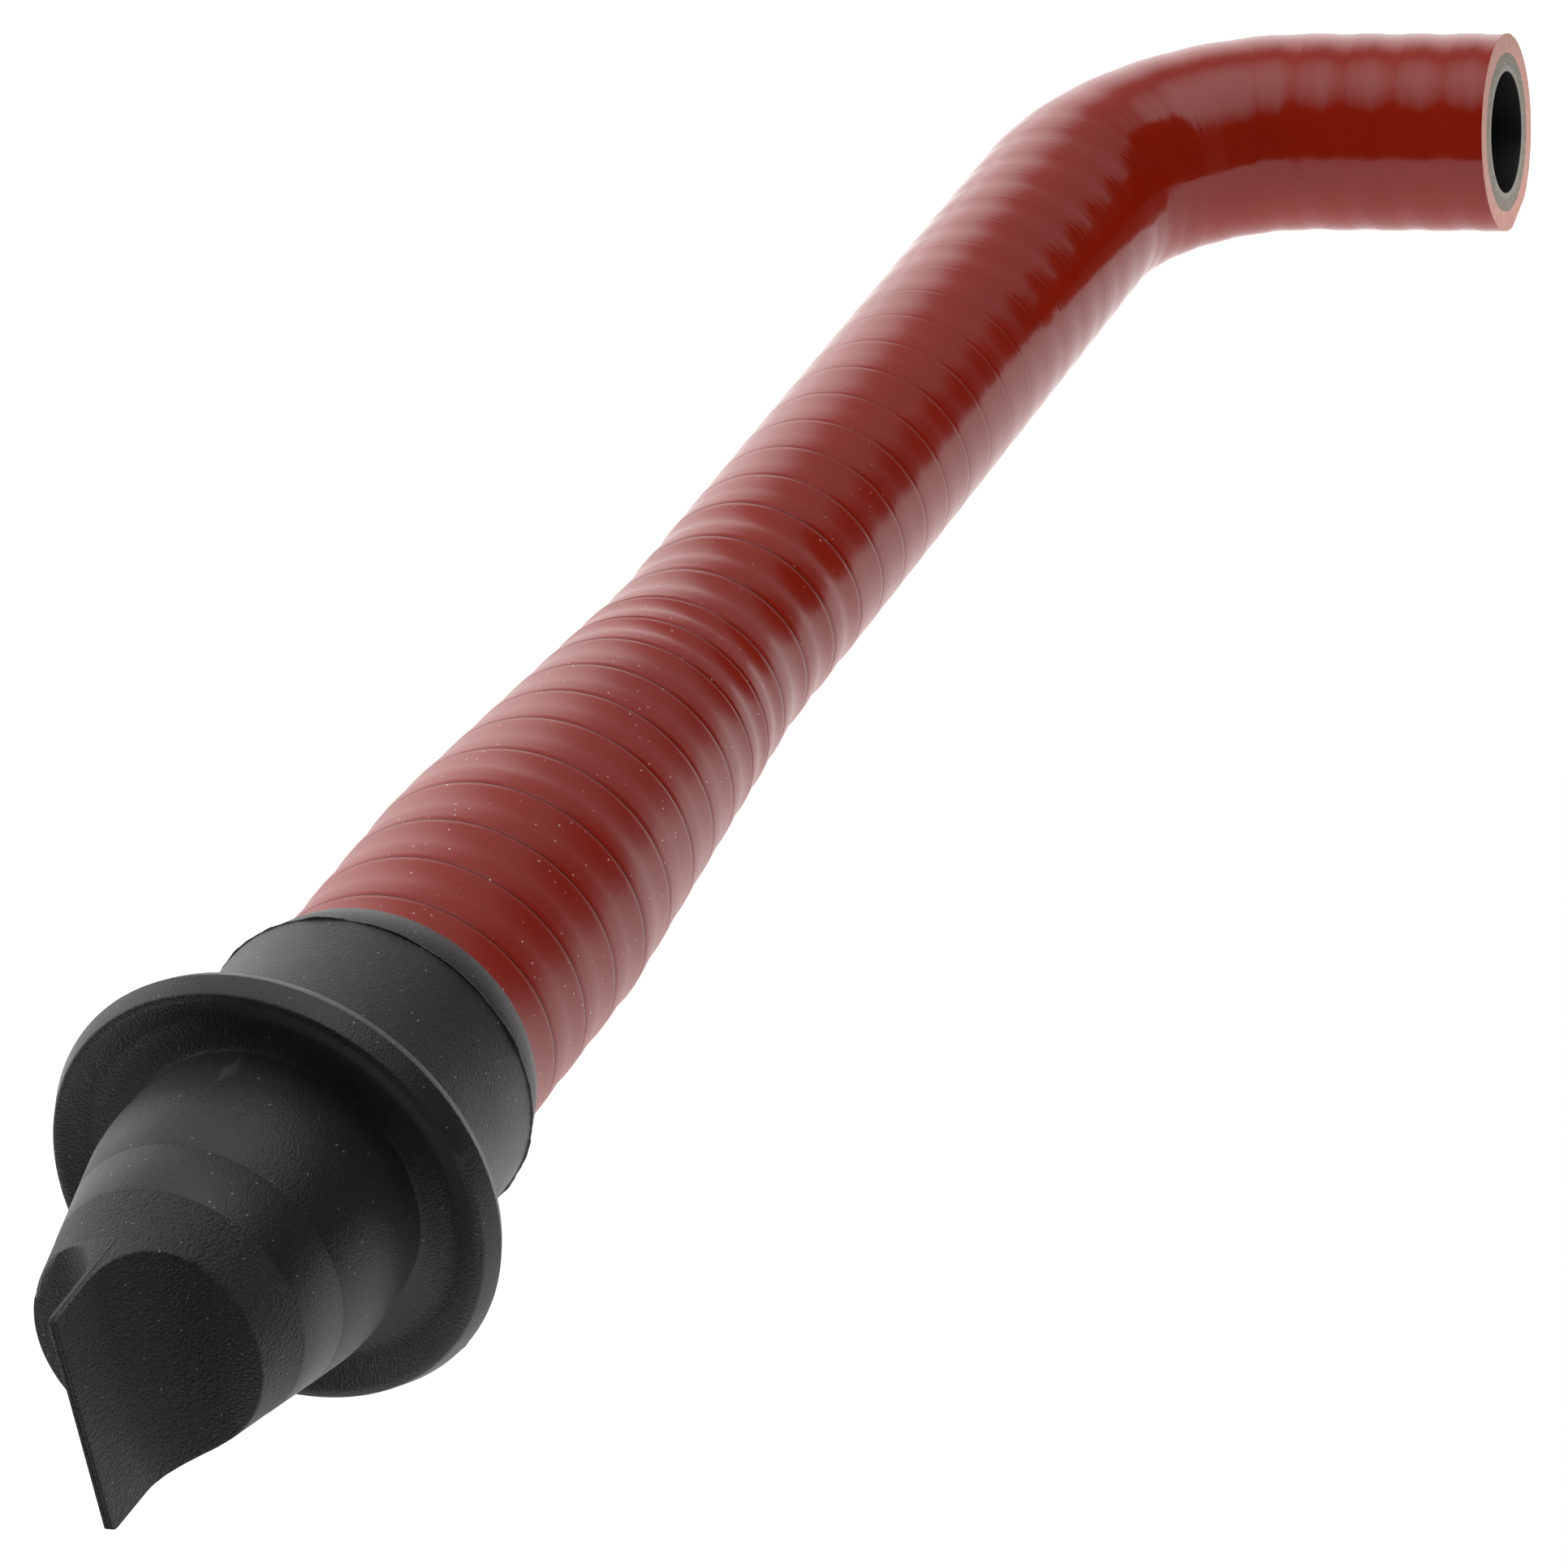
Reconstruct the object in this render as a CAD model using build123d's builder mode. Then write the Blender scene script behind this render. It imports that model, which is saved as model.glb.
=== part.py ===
from build123d import *
import os
from math import acos, asin, cos, degrees, radians, sin

# Drain hose with a one-way duckbill valve pushed over its large end.
# Frame: origin on the valve's axis, at the middle of the collar's clip band.
# +X runs from the valve along the hose, the elbow turns towards -Y, and +Z is up.

# Hose: a reducer with one elbow, laid up in layers on a mandrel and cured.
large_bore_r = 12.5
small_bore_r = 8.0
liner_wall = 0.75
ply_wall = 0.55
ply_count = 3
cover_wall = 2.6
hose_wall = liner_wall + ply_count * ply_wall + cover_wall
push_on_depth = 23.0
large_run = 38.2
taper_run = 55.8
small_run = 119.4
elbow_radius = 27.6
elbow_turn = 84.3
end_run = 26.1

# Valve: one rubber moulding, whose collar grips the hose.
push_fit_clearance = 0.05
stop_gap = 0.3
collar_wall = 2.4
band_half = 10.5
tail_run = 6.0
tail_shoulder_run = 2.0
tail_shoulder_drop = 0.8
tail_lip_wall = 0.35
flange_r = 27.2
flange_land_r = 26.1
flange_land_inner_r = 25.2
flange_back_r = 26.4
flange_back_x = -band_half - 1.0
flange_rim_x = -13.2
flange_land_x = -15.7
groove_outer_r = 21.9
groove_x = -13.6
neck_root_r = 17.75
neck_r = 18.3
neck_run = 9.1
cone_run = 22.1
cone_end_r = 13.65
body_wall = 2.3

# Mouth: two lips that close on a slit, with their outer faces swept in to a thin blade.
lip_end_r = 13.4
lip_tip_half = 0.55
lip_sweep_r = 7.9
lip_run = 15.8
lip_wall = 1.6
slit_lean = 87.0

collar_bore_r = large_bore_r + hose_wall + push_fit_clearance
collar_r = collar_bore_r + collar_wall
tail_x = band_half + tail_run
hose_start_x = band_half - push_on_depth
stop_x = hose_start_x - stop_gap
taper_start_x = band_half + large_run
taper_end_x = taper_start_x + taper_run
elbow_start_x = taper_end_x + small_run
shoulder_x = groove_x - neck_run
nose_x = shoulder_x - cone_run
tip_x = nose_x - lip_run
cap_x = nose_x + lip_wall
sweep_centre_x = nose_x - lip_sweep_r
sweep_centre_y = lip_tip_half + lip_sweep_r
cavity_half = cone_end_r - body_wall
slit_direction = Vector(0, cos(radians(slit_lean)), sin(radians(slit_lean)))
slit_plane = Plane(origin=(0, 0, 0), x_dir=(1, 0, 0), z_dir=slit_direction)
elbow_path = JernArc((elbow_start_x, 0), (1, 0), elbow_radius, -elbow_turn)
elbow_end_plane = Plane(origin=elbow_path @ 1, x_dir=(0, 0, 1), z_dir=elbow_path % 1)


def sweep_point(radius, turn):
    """A point on an arc round the lip's outer sweep, turn degrees on from its foot."""
    return (
        sweep_centre_x + radius * sin(radians(turn)),
        sweep_centre_y - radius * cos(radians(turn)),
    )


def straight_layer(inner, outer):
    """The runs and the taper of one layer of the hose wall, from inner to outer above the bore."""
    ends = (hose_start_x, taper_start_x, taper_end_x, elbow_start_x)
    bores = (large_bore_r, large_bore_r, small_bore_r, small_bore_r)
    outside = [(x, r + outer) for x, r in zip(ends, bores)]
    inside = [(x, r + inner) for x, r in zip(ends, bores)]
    with BuildPart() as straight:
        with BuildSketch(Plane.XZ):
            with BuildLine():
                Polyline(*outside, *reversed(inside), close=True)
            make_face()
        revolve(axis=Axis.X)
    return straight.part


def elbow_layer(inner, outer):
    """The bend of the same layer."""
    with BuildPart() as elbow:
        with BuildSketch(Plane.YZ.offset(elbow_start_x)):
            Circle(small_bore_r + outer)
            Circle(small_bore_r + inner, mode=Mode.SUBTRACT)
        sweep(path=elbow_path)
    return elbow.part


def end_layer(inner, outer):
    """The straight run of the same layer from the bend to the cut end."""
    with BuildPart() as end:
        with BuildSketch(elbow_end_plane):
            Circle(small_bore_r + outer)
            Circle(small_bore_r + inner, mode=Mode.SUBTRACT)
        extrude(amount=end_run)
    return end.part


def whole_layer(inner, outer):
    """A layer that runs unbroken over the hose's whole length."""
    with BuildPart() as layer:
        add(straight_layer(inner, outer))
        add(elbow_layer(inner, outer))
        add(end_layer(inner, outer))
    return layer.part


def mouth_space(front_x):
    """The cavity from the lips to the cap: it narrows to the slit and stays inside the cone's bore."""
    inner_r = lip_sweep_r + lip_wall
    closed_turn = degrees(acos(sweep_centre_y / inner_r))
    front_turn = max(closed_turn, degrees(asin(max(0, front_x - sweep_centre_x) / inner_r)))
    turns = (front_turn, (front_turn + 90) / 2, 90)
    arc = [sweep_point(inner_r, turn) for turn in turns]
    with BuildPart() as space:
        with BuildSketch(slit_plane):
            with BuildLine():
                upper = ThreePointArc(*arc)
                lower = ThreePointArc(*[(x, -y) for x, y in arc])
                Line(upper @ 1, lower @ 1)
                if front_turn > closed_turn:
                    Line(upper @ 0, lower @ 0)
            make_face()
        extrude(amount=cavity_half, both=True)
        with BuildSketch(Plane.YZ.offset(cap_x)):
            Circle(cavity_half)
        extrude(amount=tip_x - cap_x, mode=Mode.INTERSECT)
    return space.part


def valve_body():
    """The collar, the flange, the neck and the cone in one moulding, open at the mouth."""
    cavity_neck_r = neck_r - body_wall
    with BuildPart() as body:
        with BuildSketch(Plane.XZ):
            with BuildLine():
                Polyline(
                    (tail_x, collar_bore_r),
                    (tail_x, collar_bore_r + tail_lip_wall),
                    (band_half + tail_shoulder_run, collar_r - tail_shoulder_drop),
                    (band_half, collar_r),
                    (flange_back_x, collar_r),
                    (flange_back_x, flange_back_r),
                    (flange_rim_x, flange_r),
                    (flange_land_x, flange_land_r),
                    (flange_land_x, flange_land_inner_r),
                    (groove_x, groove_outer_r),
                    (groove_x, neck_root_r),
                    (shoulder_x, neck_r),
                    (nose_x, cone_end_r),
                    (nose_x, 0),
                    (cap_x, 0),
                    (cap_x, cavity_half),
                    (shoulder_x, cavity_neck_r),
                    (stop_x, cavity_neck_r),
                    (stop_x, collar_bore_r),
                    close=True,
                )
            make_face()
        revolve(axis=Axis.X)
        add(mouth_space(nose_x), mode=Mode.SUBTRACT)
    return body.part


def lip(side):
    """One lip, side +1 or -1 of the slit. Its outer face sweeps out from the blade to the cap."""
    foot = (sweep_centre_x, side * lip_tip_half)
    middle_x, middle_y = sweep_point(lip_sweep_r, 45)
    with BuildPart() as half:
        with BuildSketch(slit_plane):
            with BuildLine():
                tip = Polyline((nose_x, 0), (tip_x, 0), (tip_x, side * lip_tip_half), foot)
                sweep_in = ThreePointArc(
                    foot, (middle_x, side * middle_y), (nose_x, side * sweep_centre_y)
                )
                Line(sweep_in @ 1, tip @ 0)
            make_face()
        extrude(amount=cone_end_r, both=True)
        add(mouth_space(tip_x), mode=Mode.SUBTRACT)
        with BuildSketch(Plane.XZ):
            with BuildLine():
                Polyline((nose_x, 0), (nose_x, cone_end_r), (tip_x, lip_end_r), (tip_x, 0), close=True)
            make_face()
        revolve(axis=Axis.X, mode=Mode.INTERSECT)
    return half.part


pieces = {"hose_liner": whole_layer(0, liner_wall)}
for ply in range(ply_count):
    ply_inner = liner_wall + ply * ply_wall
    pieces[f"fabric_ply_{ply + 1}"] = whole_layer(ply_inner, ply_inner + ply_wall)
pieces["hose_cover"] = straight_layer(hose_wall - cover_wall, hose_wall)
pieces["elbow_cover"] = elbow_layer(hose_wall - cover_wall, hose_wall)
pieces["end_cover"] = end_layer(hose_wall - cover_wall, hose_wall)
pieces["valve_body"] = valve_body()
pieces["left_lip"] = lip(1)
pieces["right_lip"] = lip(-1)

os.makedirs("parts", exist_ok=True)
for name, piece in pieces.items():
    piece.label = name
    export_step(piece, f"parts/{name}.step")
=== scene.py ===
import math

import bmesh
import bpy
from mathutils import Matrix, Vector, noise
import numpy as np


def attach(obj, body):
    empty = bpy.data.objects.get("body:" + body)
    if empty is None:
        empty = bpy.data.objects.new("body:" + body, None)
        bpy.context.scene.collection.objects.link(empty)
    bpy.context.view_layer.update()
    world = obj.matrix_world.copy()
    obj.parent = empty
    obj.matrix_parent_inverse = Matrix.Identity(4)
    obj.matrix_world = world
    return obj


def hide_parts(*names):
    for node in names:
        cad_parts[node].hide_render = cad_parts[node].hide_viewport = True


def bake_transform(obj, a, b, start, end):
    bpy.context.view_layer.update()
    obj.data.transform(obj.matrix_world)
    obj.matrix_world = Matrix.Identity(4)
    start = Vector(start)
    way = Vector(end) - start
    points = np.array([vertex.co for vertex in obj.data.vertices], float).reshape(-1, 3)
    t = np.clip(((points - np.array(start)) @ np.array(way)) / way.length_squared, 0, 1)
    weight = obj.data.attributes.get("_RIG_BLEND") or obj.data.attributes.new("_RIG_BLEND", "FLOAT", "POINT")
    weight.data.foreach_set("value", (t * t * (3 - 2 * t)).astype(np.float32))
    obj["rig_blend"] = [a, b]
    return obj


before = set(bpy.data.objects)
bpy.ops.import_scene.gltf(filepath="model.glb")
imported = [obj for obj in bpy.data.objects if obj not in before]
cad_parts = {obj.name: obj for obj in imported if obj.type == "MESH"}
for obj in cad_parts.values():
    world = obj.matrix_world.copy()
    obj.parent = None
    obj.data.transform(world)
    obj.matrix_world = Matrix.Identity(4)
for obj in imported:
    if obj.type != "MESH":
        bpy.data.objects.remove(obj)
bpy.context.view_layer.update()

# Lengths are in millimetres in the CAD frame until a mesh is finished, and in metres after that.
MM = 0.001

# Hose: outside radii and the stations, measured along its middle line, where its shape changes.
LARGE_R, SMALL_R, COVER_WALL = 17.5, 13.0, 2.6
HOSE_START, TAPER_START, TAPER_END, ELBOW_START = -12.5, 48.7, 104.5, 223.9
ELBOW_RADIUS, ELBOW_TURN, END_RUN = 27.6, math.radians(84.3), 26.1
ELBOW_END = ELBOW_START + ELBOW_RADIUS * ELBOW_TURN
HOSE_END = ELBOW_END + END_RUN

# The wrapping tape: its turns against stations, and the section of one turn as (share, height).
WRAP_TURNS = ((-5, -21.0), (0, 21.0), (5, 63.0), (8, 84.8), (10, 96.4), (13, 121.6),
              (20, 171.0), (41, 313.0))
WRAP_PHASE = math.radians(-44.6)
TAPE_SECTION = ((0.0, 1.0), (0.018, 1.0), (0.12, 0.98), (0.25, 0.93), (0.35, 0.80), (0.43, 0.50),
                (0.50, 0.20), (0.58, 0.04), (0.70, 0.10), (0.82, 0.38), (0.92, 0.76), (0.982, 1.0))
# The skin is wound on a drum one unit in radius, with the cover's inner wall closer in.
SEGMENTS, WALL_CUTS, DRUM_WALL_R = 96, 85, 0.5
SEAM_DEPTH = 0.06
# How high the tape's ridges stand, and how deep its seams are and how much painted shade darkens them,
# against stations.
RIDGE_HEIGHT = ((-13, 0.05), (14, 0.08), (22, 0.15), (52, 0.15), (62, 0.08), (80, 0.10),
                (86, 0.24), (118, 0.26), (126, 0.05), (170, 0.03), (200, 0.07), (240, 0.05),
                (258, 0.10), (270, 0.14), (300, 0.14))
SEAM_STRENGTH = ((0, 1.0), (120, 1.0), (132, 0.6), (160, 0.4), (185, 0.15), (300, 0.05))
# The knife ran out of the cut end here, and left a small facet on its edge.
FACET_ANGLE, FACET_REACH, FACET_LEAN = math.radians(173), 12.5, math.radians(14)

# Valve: collar, flange, neck, cone and mouth, as radii and as places along X.
COLLAR_BORE_R, COLLAR_R, COLLAR_TAIL, FLASH_X = 17.55, 19.95, 16.5, 10.5
FLANGE_BACK_X, FLANGE_BACK_R, FLANGE_RIM_X, FLANGE_R = -11.5, 26.4, -13.2, 27.2
LAND_X, LAND_R, LAND_INNER_R, GROOVE_X, GROOVE_R = -15.7, 26.1, 25.2, -13.6, 21.9
SHOULDER_X, NECK_R, NECK_BORE_R, STOP_X = -22.7, 18.3, 16.0, -12.8
NOSE_X, NOSE_R, TIP_X, TIP_R = -44.8, 13.65, -60.6, 13.4
CAP_X, CAVITY_R = -43.2, 11.35
# A parting line rings the cone at the first, and its spark texture starts at the second.
WITNESS_X, TEXTURE_X = -30.9, -37.7
SWEEP_R, SWEEP_X, SWEEP_Y, BLADE_HALF, LIP_WALL = 7.9, -52.7, 8.45, 0.55, 1.6
SLIT_LEAN = Matrix.Rotation(math.radians(-3.0), 4, "X")
# The closed lips stand this far off the slit's middle plane.
SLIT_GAP = 0.05
# The mouth's space goes this far past the cap, and stops this far short of the cavity's wall.
MOUTH_PAST_CAP, MOUTH_MARGIN = 0.3, 0.4
VALVE_STEPS, LIP_STEPS, RING_TOLERANCE = 192, 144, 0.02
# Beyond this distance from the slit the nose's rim belongs to the cone, and inside it to the lips.
LIP_FOOT_Y = 8.6


# ---------------------------------------------------------------- small tools


def along(value, table):
    """Straight-line interpolation in a table of (value, result) pairs."""
    for (low, first), (high, second) in zip(table, table[1:]):
        if value <= high:
            share = max(0.0, (value - low) / (high - low))
            return first + (second - first) * share
    return table[-1][1]


def soft_min(a, b, width):
    """The smaller of two numbers, rounded off where they are within width of each other."""
    share = min(1.0, max(0.0, 0.5 + 0.5 * (b - a) / width))
    return b + (a - b) * share - width * share * (1 - share)


def srgb(code):
    """The linear colour of an sRGB hex value."""
    parts = [int(code[i:i + 2], 16) / 255 for i in (1, 3, 5)]
    return tuple(p / 12.92 if p <= 0.04045 else ((p + 0.055) / 1.055) ** 2.4 for p in parts) + (1,)


def finish_piece(mesh, name, materials, sharp_angle=35):
    """Turns a bmesh in millimetres into a smooth-shaded object in metres."""
    bmesh.ops.scale(mesh, vec=(MM, MM, MM), verts=mesh.verts)
    for face in mesh.faces:
        face.smooth = True
    data = bpy.data.meshes.new(name)
    mesh.to_mesh(data)
    mesh.free()
    data.set_sharp_from_angle(angle=math.radians(sharp_angle))
    for material in materials:
        data.materials.append(material)
    piece = bpy.data.objects.new(name, data)
    bpy.context.scene.collection.objects.link(piece)
    return piece


# ---------------------------------------------------------------- materials


def add(tree, kind, inputs=None, **settings):
    """Adds a node; inputs maps its sockets to numbers, colours or the sockets that feed them."""
    made = tree.nodes.new(kind)
    for key, value in settings.items():
        setattr(made, key, value)
    for key, value in (inputs or {}).items():
        if isinstance(value, bpy.types.NodeSocket):
            tree.links.new(value, made.inputs[key])
        else:
            made.inputs[key].default_value = value
    return made


def new_material(name):
    """An empty node material, with its tree and its object coordinates."""
    material = bpy.data.materials.new(name)
    material.use_nodes = True
    tree = material.node_tree
    tree.nodes.clear()
    place = add(tree, "ShaderNodeTexCoord").outputs["Object"]
    return material, tree, place


def tape_wrapped_silicone():
    """Silicone rubber cured under a wound nylon tape: a glossy deep red skin that keeps the tape's
    edges as fine grooves, darkened along them with painted shade, gathers dust, and mirrors its
    surroundings more sharply towards the elbow."""
    material, tree, place = new_material("tape_wrapped_silicone")
    clouds = add(tree, "ShaderNodeTexNoise", {"Vector": place, "Scale": 1 / (14 * MM), "Detail": 3})
    skin = add(tree, "ShaderNodeMix", {0: clouds.outputs["Fac"], 6: srgb("#861a09"),
                                       7: srgb("#96210d")}, data_type="RGBA")
    # Painted shade: the tape's seams darken towards near black, standing in for the shade in their shallow
    # grooves.
    seam = add(tree, "ShaderNodeAttribute", attribute_name="seam").outputs["Fac"]
    seam_shaded = add(tree, "ShaderNodeMix", {0: seam, 6: skin.outputs[2], 7: srgb("#160403")},
                data_type="RGBA")
    # Dust: specks about 0.15 mm across, one to every few square millimetres.
    specks = add(tree, "ShaderNodeTexVoronoi", {"Vector": place, "Scale": 1 / (1.6 * MM)})
    speck = add(tree, "ShaderNodeMapRange", {"Value": specks.outputs["Distance"], "From Min": 0.1,
                                             "From Max": 0.05})
    drift = add(tree, "ShaderNodeTexNoise", {"Vector": place, "Scale": 1 / (9 * MM)})
    patch = add(tree, "ShaderNodeMapRange", {"Value": drift.outputs["Fac"], "From Min": 0.4,
                                             "From Max": 0.55})
    dust = add(tree, "ShaderNodeMath", {0: speck.outputs[0], 1: patch.outputs[0]},
               operation="MULTIPLY")
    axis = add(tree, "ShaderNodeSeparateXYZ", {0: place})
    handled = add(tree, "ShaderNodeMapRange", {"Value": axis.outputs["X"], "From Min": 0.17,
                                               "From Max": 0.06})
    dust = add(tree, "ShaderNodeMath", {0: dust.outputs[0], 1: handled.outputs[0]},
               operation="MULTIPLY")
    dusty = add(tree, "ShaderNodeMix", {0: dust.outputs[0], 6: seam_shaded.outputs[2],
                                        7: srgb("#d8bdb4")}, data_type="RGBA")
    # The gloss is duller by the valve, where the hose is handled, than at the elbow.
    gloss = add(tree, "ShaderNodeMapRange", {"Value": axis.outputs["X"], "From Min": 0.02,
                                             "From Max": 0.2, "To Min": 0.38, "To Max": 0.13})
    grain = add(tree, "ShaderNodeTexNoise", {"Vector": place, "Scale": 1 / (0.7 * MM), "Detail": 2})
    fine = add(tree, "ShaderNodeBump", {"Height": grain.outputs["Fac"], "Distance": 0.02 * MM,
                                        "Strength": 0.5})
    # Wrinkles 1.5 mm apart round the elbow, where the tape was drawn over the bend.
    wrap = add(tree, "ShaderNodeUVMap", uv_map="wrap").outputs["UV"]
    stretched = add(tree, "ShaderNodeMapping", {"Vector": wrap, "Scale": (650, 60, 1)})
    creases = add(tree, "ShaderNodeTexNoise", {"Vector": stretched.outputs[0], "Scale": 1,
                                               "Detail": 2})
    bend = add(tree, "ShaderNodeMapRange", {"Value": axis.outputs["X"], "From Min": 0.15,
                                            "From Max": 0.225, "To Min": 0.25})
    depth = add(tree, "ShaderNodeMath", {0: creases.outputs["Fac"], 1: bend.outputs[0]},
                operation="MULTIPLY")
    wrinkled = add(tree, "ShaderNodeBump", {"Height": depth.outputs[0], "Distance": 0.05 * MM,
                                            "Strength": 0.6, "Normal": fine.outputs[0]})
    shader = add(tree, "ShaderNodeBsdfPrincipled", {
        "Base Color": dusty.outputs[2], "Roughness": gloss.outputs[0], "IOR": 1.42,
        "Normal": wrinkled.outputs[0]})
    add(tree, "ShaderNodeOutputMaterial", {"Surface": shader.outputs[0]})
    return material


def knife_cut_silicone():
    """The same rubber where a knife cut it: matt, and paler because the cut scatters light, and paler still
    with painted light that makes up for the little light reaching the cut face.
    """
    material, tree, place = new_material("knife_cut_silicone")
    tear = add(tree, "ShaderNodeTexNoise", {"Vector": place, "Scale": 1 / (1.1 * MM), "Detail": 4})
    # Painted light: these pinks are raised above the cut's own colour to make up for the little light that
    # reaches the cut face.
    tone = add(tree, "ShaderNodeMix", {0: tear.outputs["Fac"], 6: srgb("#cf8877"),
                                       7: srgb("#eab5a6")}, data_type="RGBA")
    rough = add(tree, "ShaderNodeBump", {"Height": tear.outputs["Fac"], "Distance": 0.06 * MM,
                                         "Strength": 0.6})
    shader = add(tree, "ShaderNodeBsdfPrincipled", {
        "Base Color": tone.outputs[2], "Roughness": 0.6, "IOR": 1.42, "Normal": rough.outputs[0]})
    add(tree, "ShaderNodeOutputMaterial", {"Surface": shader.outputs[0]})
    return material


def coated_fabric():
    """Polyester fabric soaked in silicone: cut across, it is a grey-green band with the ends of
    its threads, about 0.4 mm apart, as pale dots."""
    material, tree, place = new_material("coated_fabric")
    threads = add(tree, "ShaderNodeTexVoronoi", {"Vector": place, "Scale": 1 / (0.45 * MM)})
    dots = add(tree, "ShaderNodeMapRange", {"Value": threads.outputs["Distance"], "From Min": 0.25,
                                            "From Max": 0.6, "To Min": 0.5, "To Max": 0.0})
    tone = add(tree, "ShaderNodeMix", {0: dots.outputs[0], 6: srgb("#8a8378"), 7: srgb("#bdb5a8")},
               data_type="RGBA")
    rough = add(tree, "ShaderNodeBump", {"Height": threads.outputs["Distance"],
                                         "Distance": 0.05 * MM, "Strength": 0.5})
    shader = add(tree, "ShaderNodeBsdfPrincipled", {
        "Base Color": tone.outputs[2], "Roughness": 0.75, "Normal": rough.outputs[0]})
    add(tree, "ShaderNodeOutputMaterial", {"Surface": shader.outputs[0]})
    return material


def liner_rubber():
    """Dark liner rubber, smooth from its mandrel inside the bore and grey on its cut ends."""
    material, tree, place = new_material("liner_rubber")
    direction = Vector((math.cos(ELBOW_TURN), -math.sin(ELBOW_TURN), 0))
    reach = add(tree, "ShaderNodeVectorMath", {0: place, 1: direction}, operation="DOT_PRODUCT")
    end = hose_point(HOSE_END, 0, 0).dot(direction) * MM
    cut = add(tree, "ShaderNodeMapRange", {
        "Value": reach.outputs["Value"], "From Min": end - 0.15 * MM, "From Max": end - 0.02 * MM})
    streaks = add(tree, "ShaderNodeTexNoise", {"Vector": place, "Scale": 1 / (3 * MM), "Detail": 3})
    wall = add(tree, "ShaderNodeMix", {0: streaks.outputs["Fac"], 6: srgb("#060506"),
                                       7: srgb("#100f10")}, data_type="RGBA")
    tone = add(tree, "ShaderNodeMix", {0: cut.outputs[0], 6: wall.outputs[2], 7: srgb("#8c867c")},
               data_type="RGBA")
    rough = add(tree, "ShaderNodeBump", {"Height": streaks.outputs["Fac"], "Distance": 0.05 * MM,
                                         "Strength": 0.3})
    shader = add(tree, "ShaderNodeBsdfPrincipled", {
        "Base Color": tone.outputs[2], "Roughness": 0.5, "Normal": rough.outputs[0]})
    add(tree, "ShaderNodeOutputMaterial", {"Surface": shader.outputs[0]})
    return material


def black_rubber(name, low, high, roughness, grain_mm, grain_height, strength, wear):
    """Black EPDM from a steel mould: charcoal, with a sheen that its fine grain softens, worn
    and dusty in places."""
    material, tree, place = new_material(name)
    clouds = add(tree, "ShaderNodeTexNoise", {"Vector": place, "Scale": 1 / (11 * MM), "Detail": 4})
    grain = add(tree, "ShaderNodeTexNoise", {"Vector": place, "Scale": 1 / (grain_mm * MM),
                                             "Detail": 2})
    mottle = add(tree, "ShaderNodeMapRange", {"Value": grain.outputs["Fac"], "From Min": 0.35,
                                              "From Max": 0.65})
    mixed = add(tree, "ShaderNodeMix", {0: 0.6, 2: clouds.outputs["Fac"], 3: mottle.outputs[0]},
                data_type="FLOAT")
    tone = add(tree, "ShaderNodeMix", {0: mixed.outputs[0], 6: srgb(low), 7: srgb(high)},
               data_type="RGBA")
    specks = add(tree, "ShaderNodeTexVoronoi", {"Vector": place, "Scale": 1 / (1.7 * MM)})
    dust = add(tree, "ShaderNodeMapRange", {"Value": specks.outputs["Distance"], "From Min": 0.085,
                                            "From Max": 0.04, "To Max": 0.8})
    dusty = add(tree, "ShaderNodeMix", {0: dust.outputs[0], 6: tone.outputs[2],
                                        7: srgb("#9a9894")}, data_type="RGBA")
    edge = add(tree, "ShaderNodeNewGeometry").outputs["Pointiness"]
    worn = add(tree, "ShaderNodeMapRange", {"Value": edge, "From Min": 0.52, "From Max": 0.6,
                                            "To Max": wear})
    rubbed = add(tree, "ShaderNodeMix", {0: worn.outputs[0], 6: dusty.outputs[2],
                                         7: srgb("#5a585a")}, data_type="RGBA")
    bump = add(tree, "ShaderNodeBump", {"Height": grain.outputs["Fac"],
                                        "Distance": grain_height * MM, "Strength": strength})
    gloss = add(tree, "ShaderNodeMapRange", {"Value": clouds.outputs["Fac"], "From Min": 0.3,
                                             "From Max": 0.7, "To Min": roughness - 0.05,
                                             "To Max": roughness + 0.05})
    shader = add(tree, "ShaderNodeBsdfPrincipled", {
        "Base Color": rubbed.outputs[2], "Roughness": gloss.outputs[0], "IOR": 1.5,
        "Sheen Weight": 0.12, "Sheen Roughness": 0.4, "Normal": bump.outputs[0]})
    add(tree, "ShaderNodeOutputMaterial", {"Surface": shader.outputs[0]})
    return material


# ---------------------------------------------------------------- hose


def hose_point(station, angle, radius):
    """A point off the hose's middle line; the angle runs from +Z to the outside of the bend."""
    turn = min(max(0.0, (station - ELBOW_START) / ELBOW_RADIUS), ELBOW_TURN)
    run = Vector((math.cos(turn), -math.sin(turn), 0))
    side = Vector((math.sin(turn), math.cos(turn), 0))
    middle = Vector((min(station, ELBOW_START), 0, 0))
    middle += Vector((math.sin(turn), math.cos(turn) - 1, 0)) * ELBOW_RADIUS
    middle += run * max(0.0, station - ELBOW_END)
    return middle + (side * math.sin(angle) + Vector((0, 0, math.cos(angle)))) * radius


def outside_radius(station):
    return along(station, ((TAPER_START, LARGE_R), (TAPER_END, SMALL_R), (HOSE_END, SMALL_R)))


def turns_at(station):
    return along(station, tuple((s, turn) for turn, s in WRAP_TURNS))


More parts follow.
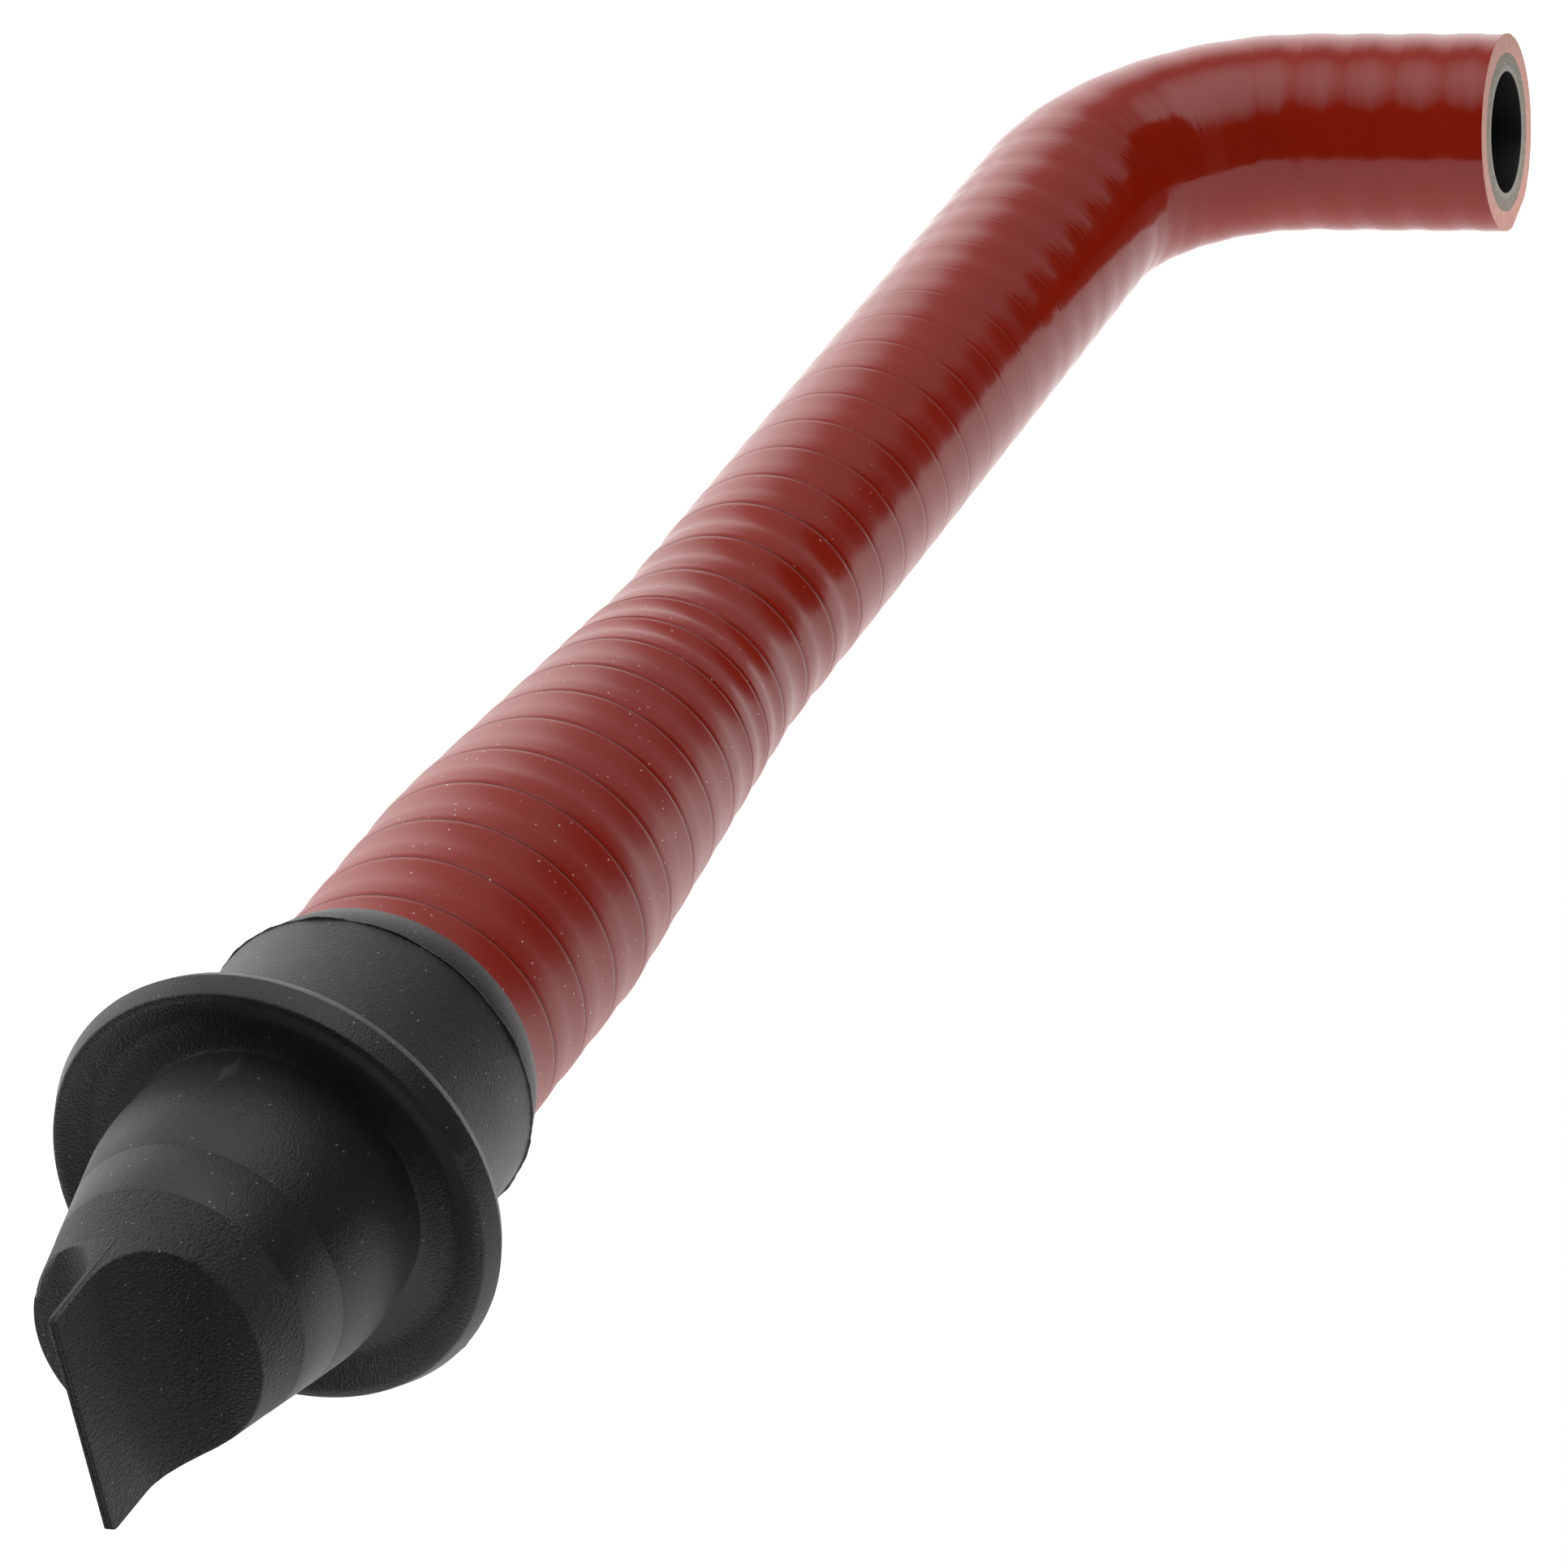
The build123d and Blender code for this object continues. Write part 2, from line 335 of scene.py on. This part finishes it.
def wound_skin():
    """The outside of the hose on a drum one unit in radius: one turn of tape, wound along it."""
    mesh = bmesh.new()
    height = mesh.verts.layers.float.new("height")
    seam = mesh.verts.layers.float.new("seam")
    first, last = WRAP_TURNS[0][0], WRAP_TURNS[-1][0]
    section = [(first + share, tall) for share, tall in TAPE_SECTION] + [(first + 1, 1.0)]
    start = []
    for x, tall in section:
        vertex = mesh.verts.new((x, math.sin(WRAP_PHASE), math.cos(WRAP_PHASE)))
        vertex[height] = tall
        start.append(vertex)
    start[0][seam] = start[-1][seam] = 1.0
    edges = [mesh.edges.new(pair) for pair in zip(start, start[1:])]
    bmesh.ops.spin(mesh, geom=start + edges, cent=(0, 0, 0), axis=(1, 0, 0), angle=math.tau,
                   dvec=(1 / SEGMENTS, 0, 0), steps=SEGMENTS)
    one_turn = mesh.verts[:] + mesh.edges[:] + mesh.faces[:]
    for turn in range(1, last - first - 1):
        copied = bmesh.ops.duplicate(mesh, geom=one_turn)["geom"]
        bmesh.ops.translate(mesh, vec=(turn, 0, 0),
                            verts=[v for v in copied if isinstance(v, bmesh.types.BMVert)])
    bmesh.ops.remove_doubles(mesh, verts=mesh.verts, dist=2e-3)
    return mesh


def cut_off(mesh, place, towards):
    """Cuts the mesh by a plane square to X, and drops what lies beyond it."""
    bmesh.ops.bisect_plane(mesh, geom=mesh.verts[:] + mesh.edges[:] + mesh.faces[:], dist=1e-5,
                           plane_co=(place, 0, 0), plane_no=(towards, 0, 0), clear_outer=True)


def close_wall(mesh):
    """Turns both cut edges in to the drum's inner wall and joins them by that wall."""
    rims = [edge for edge in mesh.edges if edge.is_boundary]
    grown = bmesh.ops.extrude_edge_only(mesh, edges=rims)["geom"]
    for face in grown:
        if isinstance(face, bmesh.types.BMFace):
            face.material_index = 1
    for vertex in grown:
        if isinstance(vertex, bmesh.types.BMVert):
            vertex.co.y *= DRUM_WALL_R
            vertex.co.z *= DRUM_WALL_R
    inner = [edge for edge in grown if isinstance(edge, bmesh.types.BMEdge) and edge.is_boundary]
    wall = bmesh.ops.bridge_loops(mesh, edges=inner)
    for face in wall["faces"]:
        face.material_index = 0
    long_edges = [e for e in wall["edges"] if abs(e.verts[0].co.x - e.verts[1].co.x) > 1]
    bmesh.ops.subdivide_edges(mesh, edges=long_edges, cuts=WALL_CUTS, use_grid_fill=True)


def lay_on_hose(mesh):
    """Takes every point of the drum to its place on the hose, with the tape's ridges."""
    height, seam = mesh.verts.layers.float["height"], mesh.verts.layers.float["seam"]
    wrap = mesh.loops.layers.uv.new("wrap")
    where = {}
    for vertex in mesh.verts:
        station = along(vertex.co.x, WRAP_TURNS)
        angle = math.atan2(vertex.co.y, vertex.co.z)
        drum = math.hypot(vertex.co.y, vertex.co.z)
        radius = outside_radius(station)
        where[vertex] = (station, angle)
        on_wall = drum < 0.7
        if on_wall:
            radius -= COVER_WALL
            vertex[seam] = 0
        else:
            ridge = along(station, RIDGE_HEIGHT)
            vertex[seam] *= along(station, SEAM_STRENGTH)
            radius -= ridge * (1 - vertex[height]) + SEAM_DEPTH * vertex[seam]
        vertex.co = hose_point(station, angle, radius)
    for face in mesh.faces:
        middle = where[face.verts[0]][1]
        for loop in face.loops:
            station, angle = where[loop.vert]
            angle -= round((angle - middle) / math.tau) * math.tau
            loop[wrap].uv = (station * MM, angle * SMALL_R * MM)


def shave_facet(mesh):
    """Flattens the small facet at the edge of the cut end."""
    run = (hose_point(HOSE_END, 0, 0) - hose_point(ELBOW_END, 0, 0)).normalized()
    centre = hose_point(HOSE_END, 0, 0)
    out = (hose_point(HOSE_END, FACET_ANGLE, 1) - centre).normalized()
    normal = out * math.cos(FACET_LEAN) + run * math.sin(FACET_LEAN)
    point = centre + out * FACET_REACH
    for vertex in mesh.verts:
        over = (vertex.co - point).dot(normal)
        if over > 0 and (vertex.co - centre).length < 2 * SMALL_R:
            vertex.co -= out * (over / normal.dot(out))


def hose_skin(materials):
    mesh = wound_skin()
    cut_off(mesh, turns_at(HOSE_START), -1)
    cut_off(mesh, turns_at(HOSE_END), 1)
    close_wall(mesh)
    lay_on_hose(mesh)
    shave_facet(mesh)
    bmesh.ops.recalc_face_normals(mesh, faces=mesh.faces)
    return finish_piece(mesh, "tape_wrapped_cover", materials, sharp_angle=50)


# ---------------------------------------------------------------- valve


def ring_edges(mesh, x, radius, test=None):
    """The edges of one ring of a spun mesh, found by its place."""
    found = []
    for edge in mesh.edges:
        ends = [v.co for v in edge.verts]
        if all(abs(p.x - x) < RING_TOLERANCE
               and abs(math.hypot(p.y, p.z) - radius) < RING_TOLERANCE for p in ends):
            if test is None or test(SLIT_LEAN.inverted() @ ((ends[0] + ends[1]) / 2)):
                found.append(edge)
    return found


def round_ring(mesh, x, radius, size, segments=3, test=None):
    bmesh.ops.bevel(mesh, geom=ring_edges(mesh, x, radius, test), offset=size, segments=segments,
                    profile=0.5, affect="EDGES", material=-1, clamp_overlap=True)


VALVE_SECTION = (
    (COLLAR_TAIL, COLLAR_BORE_R), (COLLAR_TAIL, 17.78), (15.6, 18.35), (13.6, 19.05),
    (12.0, 19.25), (10.7, 19.2), (FLASH_X + 0.06, 20.12), (FLASH_X - 0.06, 20.15),
    (10.36, COLLAR_R), (FLANGE_BACK_X, COLLAR_R), (FLANGE_BACK_X, FLANGE_BACK_R),
    (-13.05, 27.05), (FLANGE_RIM_X, FLANGE_R), (-13.35, 27.08), (LAND_X, LAND_R),
    (LAND_X, LAND_INNER_R), (GROOVE_X, GROOVE_R), (GROOVE_X, 18.35), (-13.95, 17.75),
    (-17.0, 17.85), (-17.15, 18.0), (SHOULDER_X, NECK_R), (WITNESS_X + 0.1, 16.62),
    (WITNESS_X, 16.55), (WITNESS_X - 0.1, 16.57), (TEXTURE_X + 0.05, 15.16),
    (TEXTURE_X - 0.05, 15.1), (NOSE_X, NOSE_R), (NOSE_X, 0.0), (CAP_X, 0.0), (CAP_X, CAVITY_R),
    (SHOULDER_X, NECK_BORE_R), (STOP_X, NECK_BORE_R), (STOP_X, COLLAR_BORE_R))


def valve_blank():
    """The valve's solid of turning, with its edges rounded and its mouth still closed."""
    mesh = bmesh.new()
    section = [mesh.verts.new((x, 0, r)) for x, r in VALVE_SECTION]
    edges = [mesh.edges.new(pair) for pair in zip(section, section[1:] + section[:1])
             if pair[0].co.z + pair[1].co.z > 0]
    bmesh.ops.spin(mesh, geom=section + edges, cent=(0, 0, 0), axis=(1, 0, 0), angle=math.tau,
                   steps=VALVE_STEPS, use_merge=True)
    bmesh.ops.remove_doubles(mesh, verts=mesh.verts, dist=1e-3)
    bmesh.ops.recalc_face_normals(mesh, faces=mesh.faces)
    round_ring(mesh, FLANGE_BACK_X, COLLAR_R, 0.9, 4)
    round_ring(mesh, FLANGE_BACK_X, FLANGE_BACK_R, 0.4)
    round_ring(mesh, LAND_X, LAND_R, 0.25)
    round_ring(mesh, LAND_X, LAND_INNER_R, 0.3)
    round_ring(mesh, GROOVE_X, GROOVE_R, 0.8, 4)
    round_ring(mesh, SHOULDER_X, NECK_R, 2.6, 6)
    # The nose keeps its edge where the lips leave it, and is rounder towards the top.
    round_ring(mesh, NOSE_X, NOSE_R, 0.9, 4, lambda p: abs(p.y) > LIP_FOOT_Y and p.z > 5)
    round_ring(mesh, NOSE_X, NOSE_R, 0.25, 3, lambda p: abs(p.y) > LIP_FOOT_Y and p.z <= 5)
    return mesh


def flash(mesh):
    """Torn flash where the collar's band ends, and nibs on the flange's rim, left by the mould."""
    for vertex in mesh.verts:
        p = vertex.co
        radius = math.hypot(p.y, p.z)
        around = Vector((p.y, p.z, 0)) / max(radius, 0.001)
        if abs(p.x - FLASH_X) < 0.1 and radius > COLLAR_R + 0.05:
            torn = noise.noise(around * 5) * 0.25 + noise.noise(around * 23) * 0.12
            scale = (radius + max(-0.15, torn)) / radius
        elif radius > FLANGE_R - 0.1:
            nib = max(0.0, noise.noise(around * 31) - 0.35) * 0.3
            scale = (radius - 0.1 + nib) / radius
        else:
            continue
        vertex.co = Vector((p.x, p.y * scale, p.z * scale))


def mouth_cutter():
    """The space of the mouth through the cone's cap, widening from the slit into the cone."""
    mesh = bmesh.new()
    inner = SWEEP_R + LIP_WALL
    turns = [math.radians(t) for t in (50, 60, 70, 80, 90)]
    side = [(SWEEP_X + inner * math.sin(t), SWEEP_Y - inner * math.cos(t)) for t in turns]
    side.append((CAP_X + MOUTH_PAST_CAP, SWEEP_Y))
    outline = side + [(x, -y) for x, y in reversed(side)]
    half = CAVITY_R - MOUTH_MARGIN
    face = mesh.faces.new([mesh.verts.new((x, y, -half)) for x, y in outline])
    raised = bmesh.ops.extrude_face_region(mesh, geom=[face])["geom"]
    bmesh.ops.translate(mesh, vec=(0, 0, 2 * half),
                        verts=[v for v in raised if isinstance(v, bmesh.types.BMVert)])
    bmesh.ops.recalc_face_normals(mesh, faces=mesh.faces)
    bmesh.ops.transform(mesh, matrix=SLIT_LEAN, verts=mesh.verts)
    return mesh


def valve_shell(materials):
    blank = valve_blank()
    flash(blank)
    for face in blank.faces:
        if face.calc_center_median().x < TEXTURE_X:
            face.material_index = 1
    shell = finish_piece(blank, "moulded_valve_body", materials)
    cutter = finish_piece(mouth_cutter(), "mouth_cutter", [])
    boolean = shell.modifiers.new("mouth", "BOOLEAN")
    boolean.object, boolean.operation, boolean.solver = cutter, "DIFFERENCE", "EXACT"
    shown = shell.evaluated_get(bpy.context.evaluated_depsgraph_get())
    data = bpy.data.meshes.new_from_object(shown)
    shell.modifiers.clear()
    shell.data = data
    data.set_sharp_from_angle(angle=math.radians(35))
    bpy.data.objects.remove(cutter)
    return shell


def lip_stations():
    """Stations along a lip as (x, outside half thickness, inside half thickness)."""
    inner_r = SWEEP_R + LIP_WALL
    stations = []
    for turn in range(90, -1, -6):
        x = SWEEP_X + SWEEP_R * math.sin(math.radians(turn))
        reach = min(1.0, (x - SWEEP_X) / inner_r)
        inside = SWEEP_Y - inner_r * math.sqrt(1 - reach * reach)
        stations.append((x, SWEEP_Y - SWEEP_R * math.cos(math.radians(turn)), max(0.0, inside)))
    stations += [(x, BLADE_HALF, 0.0) for x in (-54.0, -55.5, -57.0, -58.4, -59.4, -60.0, -60.35)]
    return stations + [(-60.52, BLADE_HALF - 0.04, 0.0), (TIP_X, BLADE_HALF - 0.16, 0.0)]


def lip_half(side, upper, name, materials):
    """One lip, above or below its middle: loops round its section, joined along the blade."""
    mesh = bmesh.new()
    upright = Matrix.Rotation(math.radians(90), 4, "Y")
    loops = []
    for x, outside, inside in lip_stations():
        radius = NOSE_R + (TIP_R - NOSE_R) * (NOSE_X - x) / (NOSE_X - TIP_X)
        near_tip = max(0.0, 1.0 - (x - TIP_X))
        radius -= 1.0 - math.sqrt(max(0.0, 1.0 - near_tip * near_tip * 0.75))
        made = bmesh.ops.create_circle(mesh, radius=radius, segments=LIP_STEPS,
                                       matrix=upright)["verts"]
        for vertex in made:
            y, z = vertex.co.y, vertex.co.z
            if y >= -1e-4:
                y = max(SLIT_GAP, soft_min(y, outside, 0.35))
            else:
                share = CAVITY_R / NOSE_R
                y, z = max(SLIT_GAP, min(-y * share, inside)), z * share
            vertex.co = (x, y, z)
        loops.append({edge for vertex in made for edge in vertex.link_edges})
    for near, far in zip(loops, loops[1:]):
        bmesh.ops.bridge_loops(mesh, edges=list(near | far))
    for end in (loops[0], loops[-1]):
        bmesh.ops.contextual_create(mesh, geom=list(end))
    bmesh.ops.remove_doubles(mesh, verts=mesh.verts, dist=1e-3)
    bmesh.ops.bisect_plane(mesh, geom=mesh.verts[:] + mesh.edges[:] + mesh.faces[:], dist=1e-4,
                           plane_co=(0, 0, 0), plane_no=(0, 0, -1 if upper else 1),
                           clear_outer=True)
    rim = [edge for edge in mesh.edges if edge.is_boundary]
    bmesh.ops.contextual_create(mesh, geom=rim)
    bmesh.ops.scale(mesh, vec=(1, side, 1), verts=mesh.verts)
    bmesh.ops.triangulate(mesh, faces=[face for face in mesh.faces if len(face.verts) > 4])
    bmesh.ops.recalc_face_normals(mesh, faces=mesh.faces)
    bmesh.ops.transform(mesh, matrix=SLIT_LEAN, verts=mesh.verts)
    return finish_piece(mesh, name, materials, sharp_angle=30)


# ---------------------------------------------------------------- stage


CAMERA_PLACE = (-0.6984, -0.43091, 0.48673)
CAMERA_FORWARD = (0.77385, 0.40748, -0.4849)
CAMERA_UP = (0.49949, 0.07812, 0.86279)
CAMERA_LENS = 197.54

# The lit sheet below the object, in metres: its near edges and its size. It lies a little below
# the line, in millimetres, from the flange's rim to the hose's lowest point by the elbow.
SHEET_FRONT, SHEET_RIGHT, SHEET_SIZE = -0.04, -0.1, 2.0
SHEET_DROP, REAR_TOUCH_X = 0.1, 250.0
# Patches of sky in degrees: azimuth, elevation, full within, none beyond, and then strength.
SKY = 0.52
SKY_PATCHES = ((38, 8, 22, 38, 1.3),      # a soft box beyond the hose
               (100, 20, 14, 34, 2.0),    # one on the left
               (-100, 80, 18, 42, 1.8),   # one overhead
               (180, 5, 50, 85, -0.5))    # the unlit side, where the camera stands
BLACK_CARD = (-75, 12, 40, 45, 1.0)
CARD_LIGHT, TABLE_LIGHT, BACKDROP_LIGHT = 0.02, 1.0, 1.0


def make_camera():
    data = bpy.data.cameras.new("camera")
    data.lens, data.sensor_width, data.clip_start, data.clip_end = CAMERA_LENS, 36, 0.05, 20
    camera = bpy.data.objects.new("camera", data)
    bpy.context.scene.collection.objects.link(camera)
    back, up = -Vector(CAMERA_FORWARD).normalized(), Vector(CAMERA_UP)
    right = up.cross(back).normalized()
    turned = Matrix((right, back.cross(right), back)).transposed().to_4x4()
    camera.matrix_world = Matrix.Translation(CAMERA_PLACE) @ turned
    bpy.context.scene.camera = camera


def make_floor():
    """A white sheet, lit from below, that the object rests on."""
    material = bpy.data.materials.new("white_floor")
    material.use_nodes = True
    tree = material.node_tree
    tree.nodes.clear()
    shader = add(tree, "ShaderNodeBsdfPrincipled", {
        "Base Color": (0.4, 0.4, 0.4, 1), "Roughness": 0.9, "Emission Color": (1, 1, 1, 1),
        "Emission Strength": 1.0})
    add(tree, "ShaderNodeOutputMaterial", {"Surface": shader.outputs[0]})
    mesh = bmesh.new()
    half = SHEET_SIZE / 2
    bmesh.ops.create_grid(mesh, x_segments=1, y_segments=1, size=half)
    bmesh.ops.translate(mesh, vec=(SHEET_FRONT + half, SHEET_RIGHT + half, 0), verts=mesh.verts)
    data = bpy.data.meshes.new("floor")
    mesh.to_mesh(data)
    mesh.free()
    data.materials.append(material)
    floor = bpy.data.objects.new("floor", data)
    bpy.context.scene.collection.objects.link(floor)
    front, rear = Vector((FLANGE_RIM_X, 0, -FLANGE_R)), Vector((REAR_TOUCH_X, 0, -SMALL_R))
    slope = rear - front
    floor.matrix_world = (Matrix.Translation((front - Vector((0, 0, SHEET_DROP))) * MM)
                          @ Matrix.Rotation(-math.atan2(slope.z, slope.x), 4, "Y"))


def direction(azimuth, elevation):
    a, e = math.radians(azimuth), math.radians(elevation)
    return Vector((math.cos(a) * math.cos(e), math.sin(a) * math.cos(e), math.sin(e)))


def cap(tree, look, azimuth, elevation, inner, outer, strength):
    """A round patch of sky: full strength within inner degrees, none beyond outer."""
    near = add(tree, "ShaderNodeVectorMath", {0: look, 1: direction(azimuth, elevation)},
               operation="DOT_PRODUCT")
    patch = add(tree, "ShaderNodeMapRange", {
        "Value": near.outputs["Value"], "From Min": math.cos(math.radians(outer)),
        "From Max": math.cos(math.radians(inner)), "To Max": strength})
    return patch.outputs[0]


def make_studio():
    """Soft white light from beyond, above and the left, a black card on the side that the elbow
    turns to, and a lit table below. The camera itself sees plain white."""
    world = bpy.data.worlds.new("studio")
    bpy.context.scene.world = world
    world.use_nodes = True
    tree = world.node_tree
    tree.nodes.clear()
    look = add(tree, "ShaderNodeTexCoord").outputs["Generated"]
    light = SKY
    for patch in SKY_PATCHES:
        light = add(tree, "ShaderNodeMath", {0: light, 1: cap(tree, look, *patch)},
                    operation="ADD").outputs[0]
    height = add(tree, "ShaderNodeSeparateXYZ", {0: look}).outputs["Z"]
    table = add(tree, "ShaderNodeMapRange", {"Value": height, "From Min": -0.5, "From Max": -0.58})
    light = add(tree, "ShaderNodeMix", {0: cap(tree, look, *BLACK_CARD), 2: light,
                                        3: CARD_LIGHT}, data_type="FLOAT")
    light = add(tree, "ShaderNodeMix", {0: table.outputs[0], 2: light.outputs[0],
                                        3: TABLE_LIGHT}, data_type="FLOAT")
    seen = add(tree, "ShaderNodeLightPath").outputs["Is Camera Ray"]
    shown = add(tree, "ShaderNodeMix", {0: seen, 2: light.outputs[0], 3: BACKDROP_LIGHT},
                data_type="FLOAT")
    back = add(tree, "ShaderNodeBackground", {"Color": (1, 1, 1, 1), "Strength": shown.outputs[0]})
    add(tree, "ShaderNodeOutputWorld", {"Surface": back.outputs[0]})
    bpy.context.scene.view_settings.view_transform = "Standard"


# ---------------------------------------------------------------- assembly


make_camera()
make_floor()
make_studio()

silicone, cut_silicone = tape_wrapped_silicone(), knife_cut_silicone()
fabric, liner = coated_fabric(), liner_rubber()
smooth_rubber = black_rubber("smooth_moulded_rubber", "#0d0c0e", "#201f22", roughness=0.5,
                             grain_mm=0.3, grain_height=0.1, strength=1.0, wear=0.25)
textured_rubber = black_rubber("spark_textured_rubber", "#0b0a0b", "#232224", roughness=0.6,
                               grain_mm=0.35, grain_height=0.3, strength=1.0, wear=0.0)

skin = hose_skin([silicone, cut_silicone])
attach(skin, "hose")
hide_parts("hose_cover", "elbow_cover", "end_cover")

for node_name in ("fabric_ply_1", "fabric_ply_2", "fabric_ply_3"):
    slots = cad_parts[node_name].data.materials
    slots.clear()
    slots.append(fabric)
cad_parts["hose_liner"].data.materials.clear()
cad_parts["hose_liner"].data.materials.append(liner)

shell = valve_shell([smooth_rubber, textured_rubber])
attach(shell, "valve")
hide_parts("valve_body")

for lip_name, side in (("left_lip", 1), ("right_lip", -1)):
    for part_name, upper in (("upper", True), ("lower", False)):
        half = lip_half(side, upper, f"{lip_name}_{part_name}", [textured_rubber])
        sign = 1 if upper else -1
        far = SLIT_LEAN @ Vector((TIP_X, 0, 0))
        corner = Vector((TIP_X - NOSE_X, 0, sign * TIP_R))
        middle = Vector((TIP_X - NOSE_X, 0, 0))
        foot = corner * (middle.dot(corner) / corner.length_squared)
        start = SLIT_LEAN @ (Vector((NOSE_X, 0, 0)) + foot)
        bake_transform(half, "valve", lip_name, start=tuple(start * MM), end=tuple(far * MM))
        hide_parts(lip_name)
